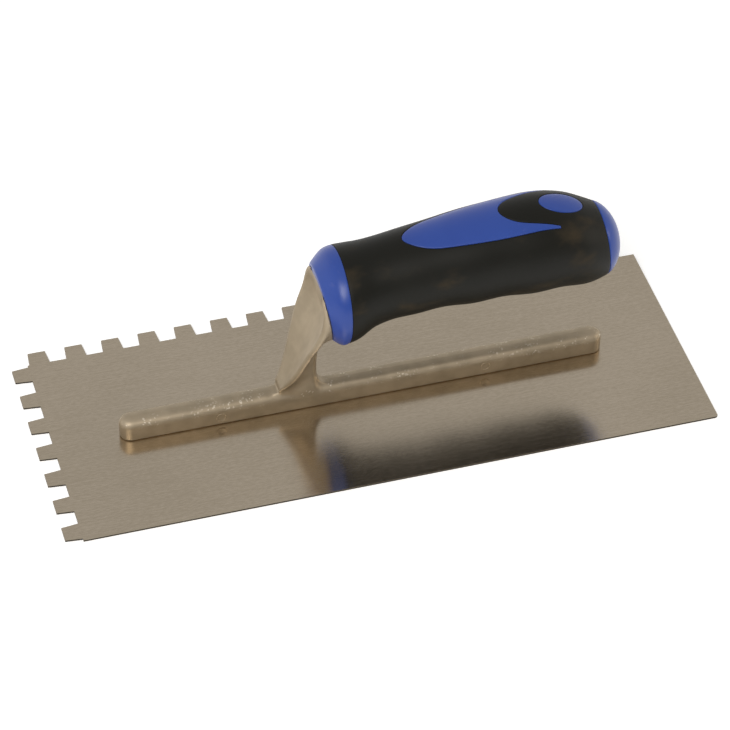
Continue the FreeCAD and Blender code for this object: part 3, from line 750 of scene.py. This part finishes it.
# %% Rings left by the ejector pins
pins = Recipe("ejector_rings", "cast_aluminium", {
    "First x": -62.2 * MM, "First z": 4.9 * MM, "Step x": 115.2 * MM, "Step z": 0.7 * MM,
    "Side y": MOUNT_LINE - BAR_WIDTH / 2, "Pin radius": 1.9 * MM, "Rim": 0.20 * MM})
size = pins.given
hoop = pins.node("GeometryNodeCurvePrimitiveCircle", {}, {"Resolution": 40, "Radius": size["Pin radius"]})
wire = pins.node("GeometryNodeCurvePrimitiveCircle", {}, {"Resolution": 8, "Radius": size["Rim"]})
hoop = pins.node("GeometryNodeCurveToMesh", {}, {"Curve": hoop, "Profile Curve": wire})
two = pins.node("GeometryNodeMeshLine", {}, {
    "Count": 2, "Start Location": pins.point(size["First x"], size["Side y"], size["First z"]),
    "Offset": pins.point(size["Step x"], 0, size["Step z"])})
pins.result = pins.node("GeometryNodeInstanceOnPoints", {}, {
    "Points": two, "Instance": hoop, "Rotation": (math.pi / 2, 0.0, 0.0)})
finish_piece(pins.make("ejector_rings"), "cast_aluminium")

# %% [markdown]
# ## The form of the grip
# Collar, sleeve, core and cap are all round sections strung along the tang. A section has a centre, a
# radius and a lean, so the side view says it all: a crest line, and a belly line with finger waves. A
# subdivision surface would drift away from both, so the rings are made from a cubic spline.

# %% Side view of the sleeve
SEAM_X = -10.3 * MM
SEAM_HEIGHT = 57.4 * MM
SEAM_RADIUS = 20.7 * MM
SLEEVE_LENGTH = 111.8 * MM
SLEEVE_WALL = 2.2 * MM
END_LEAN = 3.5                  # degrees, at the cap
SECTIONS = 22
# Each line: share of the length, and millimetres above the same line at the seam.
CREST_LINE = (
    (0.0, 0.0), (0.1, 0.8), (0.25, 3.4), (0.5, 7.5), (0.7, 9.4), (0.8, 9.2), (0.9, 6.3), (1.0, 0.6))
BELLY_LINE = (
    (0.0, 0.0), (0.05, 1.9), (0.1, 5.5), (0.2, 8.3), (0.35, 9.4), (0.6, 9.6), (0.8, 9.1), (0.94, 8.7),
    (1.0, 10.1))
FINGER_DEPTH = 0.4 * MM
FINGER_PITCH = 25.3 * MM
FINGER_FIRST = 28.0 * MM


def spline(knots, values):
    """A natural cubic spline through the values, as a function of the knots' parameter."""
    knots, values = np.asarray(knots, float), np.asarray(values, float)
    gap = np.diff(knots)
    slope = np.diff(values) / gap
    count = len(knots)
    system, right_side = np.eye(count), np.zeros(count)
    for i in range(1, count - 1):
        system[i, i - 1:i + 2] = gap[i - 1], 2 * (gap[i - 1] + gap[i]), gap[i]
        right_side[i] = 6 * (slope[i] - slope[i - 1])
    bend = np.linalg.solve(system, right_side)

    def at(t):
        i = int(np.clip(np.searchsorted(knots, t) - 1, 0, count - 2))
        a, b, h = knots[i + 1] - t, t - knots[i], gap[i]
        return float(
            (bend[i] * a ** 3 + bend[i + 1] * b ** 3) / (6 * h)
            + (values[i] / h - bend[i] * h / 6) * a + (values[i + 1] / h - bend[i + 1] * h / 6) * b)
    return at


def line_height(points, share):
    """Height of a smooth line through the points."""
    places, heights = np.array(points).T
    slopes = np.empty(len(points))
    slopes[1:-1] = (heights[2:] - heights[:-2]) / (places[2:] - places[:-2])
    slopes[0], slopes[-1] = np.diff(heights)[[0, -1]] / np.diff(places)[[0, -1]]
    i = int(np.clip(np.searchsorted(places, share, "right") - 1, 0, len(points) - 2))
    span = places[i + 1] - places[i]
    t = (share - places[i]) / span
    rise = (3 * t ** 2 - 2 * t ** 3) * (heights[i + 1] - heights[i])
    bend = (t - 2 * t ** 2 + t ** 3) * slopes[i] + (t ** 3 - t ** 2) * slopes[i + 1]
    return (heights[i] + rise + bend * span) * MM


def belly_height(share):
    """Height of the belly with its finger waves, which fade out at both ends."""
    along = share * SLEEVE_LENGTH
    fade = min(1, along / FINGER_FIRST, (SLEEVE_LENGTH - along) / (FINGER_PITCH / 2)) ** 2
    wave = math.cos(2 * math.pi * (along - FINGER_FIRST) / FINGER_PITCH)
    return line_height(BELLY_LINE, share) - FINGER_DEPTH * fade * wave


shares = [i / SECTIONS for i in range(SECTIONS + 1)]
crests, bellies = [line_height(CREST_LINE, t) for t in shares], [belly_height(t) for t in shares]
rise_at = spline(shares, [(crest + belly) / 2 for crest, belly in zip(crests, bellies)])
swell_at = spline(shares, [(crest - belly) / 2 for crest, belly in zip(crests, bellies)])


def sleeve_ring(share):
    """Centre, upward direction and radius of the sleeve's section at a share of its length."""
    tilt = math.radians(END_LEAN * share)
    centre = Vector((SEAM_X + share * SLEEVE_LENGTH, MOUNT_LINE, SEAM_HEIGHT + rise_at(share)))
    return centre, Vector((-math.sin(tilt), 0, math.cos(tilt))), SEAM_RADIUS + swell_at(share)


def on_sleeve(share, angle, depth):
    """A point on the sleeve: the angle runs from the crest towards +Y, and depth is below the surface."""
    centre, up, radius = sleeve_ring(share)
    return centre + (up * math.cos(angle) + Vector((0, math.sin(angle), 0))) * (radius - depth)


def find_on_sleeve(x, y):
    """Share and angle of the point of the sleeve's top that lies above (x, y)."""
    share = (x - SEAM_X) / SLEEVE_LENGTH
    for _ in range(4):
        centre, up, radius = sleeve_ring(share)
        angle = math.asin(max(-1.0, min(1.0, (y - MOUNT_LINE) / radius)))
        share += (x - centre.x - up.x * math.cos(angle) * radius) / SLEEVE_LENGTH
    return share, angle


print("grip at its fullest:", round(2 * max(sleeve_ring(i / 50)[2] for i in range(51)) / MM, 1), "mm across")

# %% [markdown]
# ## Windows in the sleeve
# The black sleeve is moulded over the blue core and leaves two windows, a long swallow-tailed panel and
# an oval, where the core comes up flush. Cutting windows with a boolean leaves slivers that shade badly.
# Here the skin is unrolled flat, triangulated with the windows' outlines as fixed edges, and rolled up
# again. The same outlines, moved outwards by a hair at each step, make a rounded lip on both materials.

# %% Outlines seen from above
LIP = 0.32 * MM                 # radius of the rounded lips
WINDOW_GAP = 0.10 * MM
PANEL_TIP = SEAM_X + 26.2 * MM
PANEL_NOTCH_X = SEAM_X + 67.2 * MM
PANEL_END = SEAM_X + 90.4 * MM
PANEL_HALF_WIDTH = 12.3 * MM
PANEL_TAIL = 1.1 * MM           # width of a tail's blunt end
OVAL_MIDDLE = SEAM_X + 94.1 * MM
OVAL_LENGTH = 19.0 * MM
OVAL_WIDTH = 12.4 * MM
OVAL_POINTS = 72
PANEL_SIDE = ((0.0, 0.0), (0.055, 0.40), (0.28, 0.82), (0.60, 1.0), (1.0, 1.02))
PANEL_INNER = ((0.0, 0.0), (0.10, 0.42), (0.48, 0.80), (1.0, 1.03))


def mirrored_curve(start, end, half_width, shares, steps):
    """A smooth curve from the -Y side round a point on the middle line to the +Y side."""
    side = [Vector((start + a * (end - start), b * half_width)) for a, b in shares]
    points = [Vector((p.x, -p.y)) for p in reversed(side[1:])] + side
    along = [0.0]
    for first, second in zip(points, points[1:]):
        along.append(along[-1] + (second - first).length)
    x_at, y_at = spline(along, [p.x for p in points]), spline(along, [p.y for p in points])
    spots = [along[-1] * i / steps for i in range(steps + 1)]
    return [Vector((x_at(t), y_at(t))) for t in spots]


def panel_outline():
    """Closed outline of the long panel."""
    outer = mirrored_curve(PANEL_TIP, PANEL_END, PANEL_HALF_WIDTH, PANEL_SIDE, 120)
    inner = mirrored_curve(PANEL_NOTCH_X, PANEL_END, PANEL_HALF_WIDTH - PANEL_TAIL, PANEL_INNER, 56)
    return [p + Vector((0, MOUNT_LINE)) for p in outer + inner[::-1]]


def oval_outline():
    """Closed outline of the oval."""
    centre = Vector((OVAL_MIDDLE, MOUNT_LINE))
    turns = [2 * math.pi * i / OVAL_POINTS for i in range(OVAL_POINTS)]
    return [centre + Vector((OVAL_LENGTH / 2 * math.cos(t), OVAL_WIDTH / 2 * math.sin(t))) for t in turns]


def moved_outline(outline, distance):
    """The outline moved outwards by a distance, along the mean of its sides' normals."""
    area = sum(a.x * b.y - b.x * a.y for a, b in zip(outline, outline[1:] + outline[:1]))
    hand = 1 if area > 0 else -1
    moved = []
    for i, point in enumerate(outline):
        before = (point - outline[i - 1]).normalized()
        after = (outline[(i + 1) % len(outline)] - point).normalized()
        way = (before + after).normalized()
        moved.append(point + Vector((way.y, -way.x)) * hand * distance)
    return moved


windows = {"panel": panel_outline(), "oval": oval_outline()}
print({name: len(outline) for name, outline in windows.items()}, "points in the outlines")

# %% Flat pattern of the skin
ROWS = 78
COLUMNS = 108
MEAN_RADIUS = 19.0 * MM
LIP_STEPS = 4
LIP_MARGIN = 0.5 * MM           # between a lip and the nearest points of the even grid


def unroll(share, angle):
    return Vector((share * SLEEVE_LENGTH, angle * MEAN_RADIUS))


def inside(point, outline):
    """Whether a flat point lies inside a closed outline."""
    hit = False
    for a, b in zip(outline, outline[1:] + outline[:1]):
        if (a.y > point.y) != (b.y > point.y):
            if point.x < a.x + (point.y - a.y) * (b.x - a.x) / (b.y - a.y):
                hit = not hit
    return hit


def triangulate(grid, loops, keep):
    """The flat points of a grid and closed loops, and the triangles over them that keep() passes."""
    points, edges = list(grid), []
    for loop in loops:
        first = len(points)
        points += loop
        edges += [(first + i, first + (i + 1) % len(loop)) for i in range(len(loop))]
    _, _, faces, sources, _, _ = delaunay_2d_cdt(points, edges, [], 0, 1e-7)
    triangles = []
    for face in faces:
        corners = [sources[v][0] for v in face]
        if keep(sum((points[v] for v in corners), Vector((0, 0))) / 3):
            triangles.append(corners)
    return points, triangles


def rounding(distance, radius):
    """Depth of a rounded edge at a distance from the end."""
    short = min(max(radius - distance, 0.0), radius)
    return radius - math.sqrt(radius * radius - short * short)

# %% Lips round a window
def lip_loops(outline, hand):
    """Loops from the flush surface down to the wall's foot: (share, angle, depth) of every point.

    hand is 1 for the material outside the outline, and -1 for the land inside it."""
    start = -WINDOW_GAP / 2 if hand < 0 else WINDOW_GAP / 2
    loops = []
    for step in range(LIP_STEPS + 1):
        angle = math.pi / 2 * step / LIP_STEPS
        move = start + hand * LIP * (1 - math.sin(angle))
        depth = LIP * (1 - math.cos(angle))
        loops.append([(*find_on_sleeve(p.x, p.y), depth) for p in moved_outline(outline, move)])
    loops.append([(share, angle, SLEEVE_WALL) for share, angle, _ in loops[-1]])
    return loops


def stitch(work, first, second, flip):
    """Quads between two closed rows of vertices."""
    for i in range(len(first)):
        j = (i + 1) % len(first)
        quad = (first[i], first[j], second[j], second[i])
        work.faces.new(quad[::-1] if flip else quad)


def mesh_of(work, name):
    """A bmesh as an object whose faces point outwards."""
    bmesh.ops.remove_doubles(work, verts=work.verts, dist=0.0005 * MM)
    loose = [edge for edge in work.edges if not edge.link_faces]
    bmesh.ops.delete(work, geom=loose, context="EDGES")
    bmesh.ops.recalc_face_normals(work, faces=work.faces)
    mesh = bpy.data.meshes.new(name)
    work.to_mesh(mesh)
    work.free()
    return new_object(name, mesh)


# %% Sleeve with its two windows
END_ROUND = 0.45 * MM           # rounded rims at the collar and at the cap
EDGE_ROWS = [0.0, 0.03, 0.12, 0.26, 0.45]     # millimetres from either end
row_spots = [d * MM for d in EDGE_ROWS]
row_spots += [END_ROUND + (SLEEVE_LENGTH - 2 * END_ROUND) * (i + 1) / ROWS for i in range(ROWS - 1)]
row_spots += [SLEEVE_LENGTH - d * MM for d in reversed(EDGE_ROWS)]
lips = {name: lip_loops(outline, 1) for name, outline in windows.items()}
flat_loops = [[unroll(share, angle) for share, angle, _ in loops[0]] for loops in lips.values()]
clear_loops = [[unroll(*find_on_sleeve(p.x, p.y)) for p in moved_outline(outline, LIP + LIP_MARGIN)]
               for outline in windows.values()]
column_angles = [math.pi * (2 * i / COLUMNS - 1) for i in range(COLUMNS + 1)]
grid = []
for spot in row_spots:
    for angle in column_angles:
        flat = unroll(spot / SLEEVE_LENGTH, angle)
        if not any(inside(flat, loop) for loop in clear_loops):
            grid.append(flat)
flat_points, triangles = triangulate(
    grid, flat_loops, lambda p: not any(inside(p, loop) for loop in flat_loops))
skin = bmesh.new()
outer, inner = [], []
for i, flat in enumerate(flat_points):
    share, angle = flat.x / SLEEVE_LENGTH, flat.y / MEAN_RADIUS
    from_end = min(flat.x, SLEEVE_LENGTH - flat.x)
    rim = rounding(from_end, END_ROUND) if i < len(grid) else 0.0
    outer.append(skin.verts.new(on_sleeve(share, angle, rim)))
    inner.append(skin.verts.new(on_sleeve(share, angle, SLEEVE_WALL)))
for a, b, c in triangles:
    skin.faces.new((outer[a], outer[b], outer[c]))
    skin.faces.new((inner[c], inner[b], inner[a]))
start = len(grid)
for loops in lips.values():
    size_of_loop = len(loops[0])
    rows = [outer[start:start + size_of_loop]]
    for loop in loops[1:]:
        rows.append([skin.verts.new(on_sleeve(*spot)) for spot in loop])
    inner_row = inner[start:start + size_of_loop]
    for vertex, foot in zip(inner_row, rows[-1]):
        vertex.co = foot.co
    for first, second in zip(rows, rows[1:]):
        stitch(skin, first, second, False)
    start += size_of_loop
width = COLUMNS + 1
for first in (0, len(grid) - width):
    stitch(skin, outer[first:first + width - 1], inner[first:first + width - 1], first > 0)
finish_piece(mesh_of(skin, "black_sleeve"), "black_rubber", ["grip_sleeve"], math.radians(50))

# %% Blue lands in the windows
def make_land(name, outline):
    """The raised part of the core that fills one window, flush with the sleeve."""
    loops = lip_loops(outline, -1)
    flat_loop = [unroll(share, angle) for share, angle, _ in loops[0]]
    fence = [unroll(*find_on_sleeve(p.x, p.y)) for p in moved_outline(outline, -LIP - LIP_MARGIN)]
    pitch = 1.4 * MM
    spots = [(min(p[k] for p in flat_loop), max(p[k] for p in flat_loop)) for k in (0, 1)]
    field = []
    for i in range(int((spots[0][1] - spots[0][0]) / pitch) + 1):
        for j in range(int((spots[1][1] - spots[1][0]) / pitch) + 1):
            flat = Vector((spots[0][0] + i * pitch, spots[1][0] + (j + 0.5 * (i % 2)) * pitch))
            if inside(flat, fence):
                field.append(flat)
    points, faces = triangulate(field, [flat_loop], lambda p: inside(p, flat_loop))
    land = bmesh.new()
    top = [land.verts.new(on_sleeve(p.x / SLEEVE_LENGTH, p.y / MEAN_RADIUS, 0.0)) for p in points]
    foot = [land.verts.new(on_sleeve(p.x / SLEEVE_LENGTH, p.y / MEAN_RADIUS, SLEEVE_WALL)) for p in points]
    for a, b, c in faces:
        land.faces.new((top[a], top[b], top[c]))
        land.faces.new((foot[c], foot[b], foot[a]))
    rows = [top[len(field):]]
    for loop in loops[1:]:
        rows.append([land.verts.new(on_sleeve(*spot)) for spot in loop])
    for vertex, under in zip(foot[len(field):], rows[-1]):
        vertex.co = under.co
    for first, second in zip(rows, rows[1:]):
        stitch(land, first, second, True)
    return finish_piece(mesh_of(land, name), "blue_plastic", ["grip_core"], math.radians(50))


make_land("grip_panel", windows["panel"])
make_land("grip_oval", windows["oval"])

# %% [markdown]
# ## Turned parts of the grip
# The collar, the hidden core and the cap are closed rings: a row of sections along the outside and another
# back along the bore. One function skins such a row, so each part is only its list of sections. Rims get
# their rounding from a few closely spaced sections, just as a turner breaks an edge.

# %% Skin over closed rings
RING_POINTS = 120
TANG_SLOPE = math.radians(3.4)
TANG_DIRECTION = Vector((math.cos(TANG_SLOPE), 0, math.sin(TANG_SLOPE)))
TANG_START = Vector((SEAM_X, MOUNT_LINE, 56.2 * MM))
TANG_UP = Vector((-math.sin(TANG_SLOPE), 0, math.cos(TANG_SLOPE)))


def skin_rings(name, rings):
    """A closed mesh over sections given as (centre, up, radius).

    The last section joins the first, and a section with no radius becomes one point."""
    work = bmesh.new()
    rows = []
    for centre, up, radius in rings:
        row = []
        for i in range(RING_POINTS):
            angle = 2 * math.pi * i / RING_POINTS
            outward = up * math.cos(angle) + Vector((0, math.sin(angle), 0))
            row.append(work.verts.new(centre + outward * radius))
        rows.append(row)
    for first, second in zip(rows, rows[1:] + rows[:1]):
        stitch(work, first, second, False)
    return mesh_of(work, name)


def on_tang(distance, radius):
    """A section square to the tang, at a distance behind the seam."""
    return TANG_START + TANG_DIRECTION * distance, TANG_UP, radius


# %% Blue collar
MOUTH_X = -18.1 * MM
MOUTH_HEIGHT = 55.1 * MM
MOUTH_RADIUS = 16.5 * MM
MOUTH_LEAN = 9.0                # degrees, at the neck
COLLAR_BORE = 12.1 * MM
# Shares of the collar's depth, of its climb and of its growth from mouth to seam.
COLLAR_STATIONS = np.array(((0.0, 0.0, 0.0), (0.28, 0.24, 0.48), (0.60, 0.60, 0.90), (1.0, 1.0, 1.0)))
climb_at = spline(COLLAR_STATIONS[:, 0], COLLAR_STATIONS[:, 1])
growth_at = spline(COLLAR_STATIONS[:, 0], COLLAR_STATIONS[:, 2])
COLLAR_DEPTH = SEAM_X - MOUTH_X


def collar_ring(share, inset=0.0):
    """A section of the collar at a share of its depth."""
    lean = math.radians(MOUTH_LEAN * (1 - share))
    height = MOUTH_HEIGHT + climb_at(share) * (SEAM_HEIGHT - MOUTH_HEIGHT)
    centre = Vector((MOUTH_X + share * COLLAR_DEPTH, MOUNT_LINE, height))
    radius = MOUTH_RADIUS + growth_at(share) * (SEAM_RADIUS - MOUTH_RADIUS)
    return centre, Vector((-math.sin(lean), 0, math.cos(lean))), radius - inset


FRONT_ROUND = 0.45 * MM
collar_rings = []
for step in range(7):
    distance = FRONT_ROUND * (1 - math.cos(math.pi / 2 * step / 6))
    collar_rings.append(collar_ring(distance / COLLAR_DEPTH, rounding(distance, FRONT_ROUND)))
collar_rings += [collar_ring(0.10 + 0.84 * i / 30) for i in range(1, 31)]
for step in range(5, -1, -1):
    distance = END_ROUND * (1 - math.cos(math.pi / 2 * step / 6))
    collar_rings.append(collar_ring(1 - distance / COLLAR_DEPTH, rounding(distance, END_ROUND)))
mouth_centre, mouth_up, _ = collar_ring(0)
collar_rings += [(TANG_START, Vector((0, 0, 1)), COLLAR_BORE), (mouth_centre, mouth_up, COLLAR_BORE)]
finish_piece(skin_rings("blue_collar", collar_rings), "blue_plastic", ["front_collar"], math.radians(50))

# %% Hidden core
SEAT = 92.96 * MM               # the washer's seat, behind the seam
CORE_END = SEAT + 19.0 * MM
TANG_END = SEAT - 2.0 * MM
POCKET_RADIUS = 10.0 * MM
PASSAGE_RADIUS = 5.3 * MM       # round the screw, and up to the tang's end
ROOT_RADIUS = 6.1 * MM          # round the tang's root
CORE_GAP = 0.05 * MM            # between the core and the sleeve's inside
CORE_STEPS = 60
core_rings = []
for step in range(CORE_STEPS + 1):
    centre, up, radius = sleeve_ring(step / CORE_STEPS)
    core_rings.append((centre, up, radius - SLEEVE_WALL - CORE_GAP))
core_rings += [
    on_tang(CORE_END, POCKET_RADIUS), on_tang(SEAT, POCKET_RADIUS), on_tang(SEAT, PASSAGE_RADIUS),
    on_tang(TANG_END, PASSAGE_RADIUS), on_tang(0.3 * MM, ROOT_RADIUS)]
finish_piece(skin_rings("core_body", core_rings), "blue_plastic", ["grip_core"], math.radians(40))

# %% End cap
CAP_DEPTH = 8.3 * MM
CAP_START = math.radians(16.0)  # an ellipse that starts this far past its fullest place
CAP_WALL = SLEEVE_WALL + 0.2 * MM
CAP_GAP = 0.02 * MM             # between the rims of cap and sleeve
CAP_FOOT = 11.0 * MM            # inner radius of the flat face towards the sleeve
SPIGOT_RADIUS = POCKET_RADIUS - 0.05 * MM
SPIGOT_WALL = 1.8 * MM
SPIGOT_END = CORE_END - 9.0 * MM
end_centre, end_up, end_radius = sleeve_ring(1.0)
end_way = Vector((end_up.z, 0, -end_up.x))


def cap_ring(angle, wall=0.0, inset=0.0):
    """A section of the dome at an angle from its fullest place, for the outer or the inner skin."""
    across = (end_radius - wall) * math.cos(angle) / math.cos(CAP_START) - inset
    share = (math.sin(angle) - math.sin(CAP_START)) / (1 - math.sin(CAP_START))
    return end_centre + end_way * (CAP_GAP + (CAP_DEPTH - CAP_GAP - wall) * share), end_up, across


def cap_angle(distance):
    """The angle at a distance from the rim's plane."""
    return math.asin(math.sin(CAP_START) + distance / CAP_DEPTH * (1 - math.sin(CAP_START)))


OUTSIDE_STEPS, INSIDE_STEPS = 26, 12
cap_rings = [(end_centre + end_way * CAP_GAP, end_up, CAP_FOOT)]
for step in range(4):
    distance = END_ROUND * step / 4
    cap_rings.append(cap_ring(cap_angle(distance), 0.0, rounding(distance, END_ROUND)))
first, top = cap_angle(END_ROUND), math.pi / 2 - 0.01
cap_rings += [cap_ring(first + (top - first) * i / OUTSIDE_STEPS) for i in range(OUTSIDE_STEPS + 1)]
cap_rings.append((end_centre + end_way * CAP_DEPTH, end_up, 0.0))
cap_rings.append((end_centre + end_way * (CAP_DEPTH - CAP_WALL), end_up, 0.0))
for i in range(INSIDE_STEPS, 0, -1):
    cap_rings.append(cap_ring(CAP_START + (top - CAP_START) * i / INSIDE_STEPS, CAP_WALL))
cap_rings += [
    on_tang(CORE_END, SPIGOT_RADIUS - SPIGOT_WALL), on_tang(SPIGOT_END, SPIGOT_RADIUS - SPIGOT_WALL),
    on_tang(SPIGOT_END, SPIGOT_RADIUS)]
finish_piece(skin_rings("end_cap_dome", cap_rings), "blue_plastic", ["end_cap"], math.radians(50))
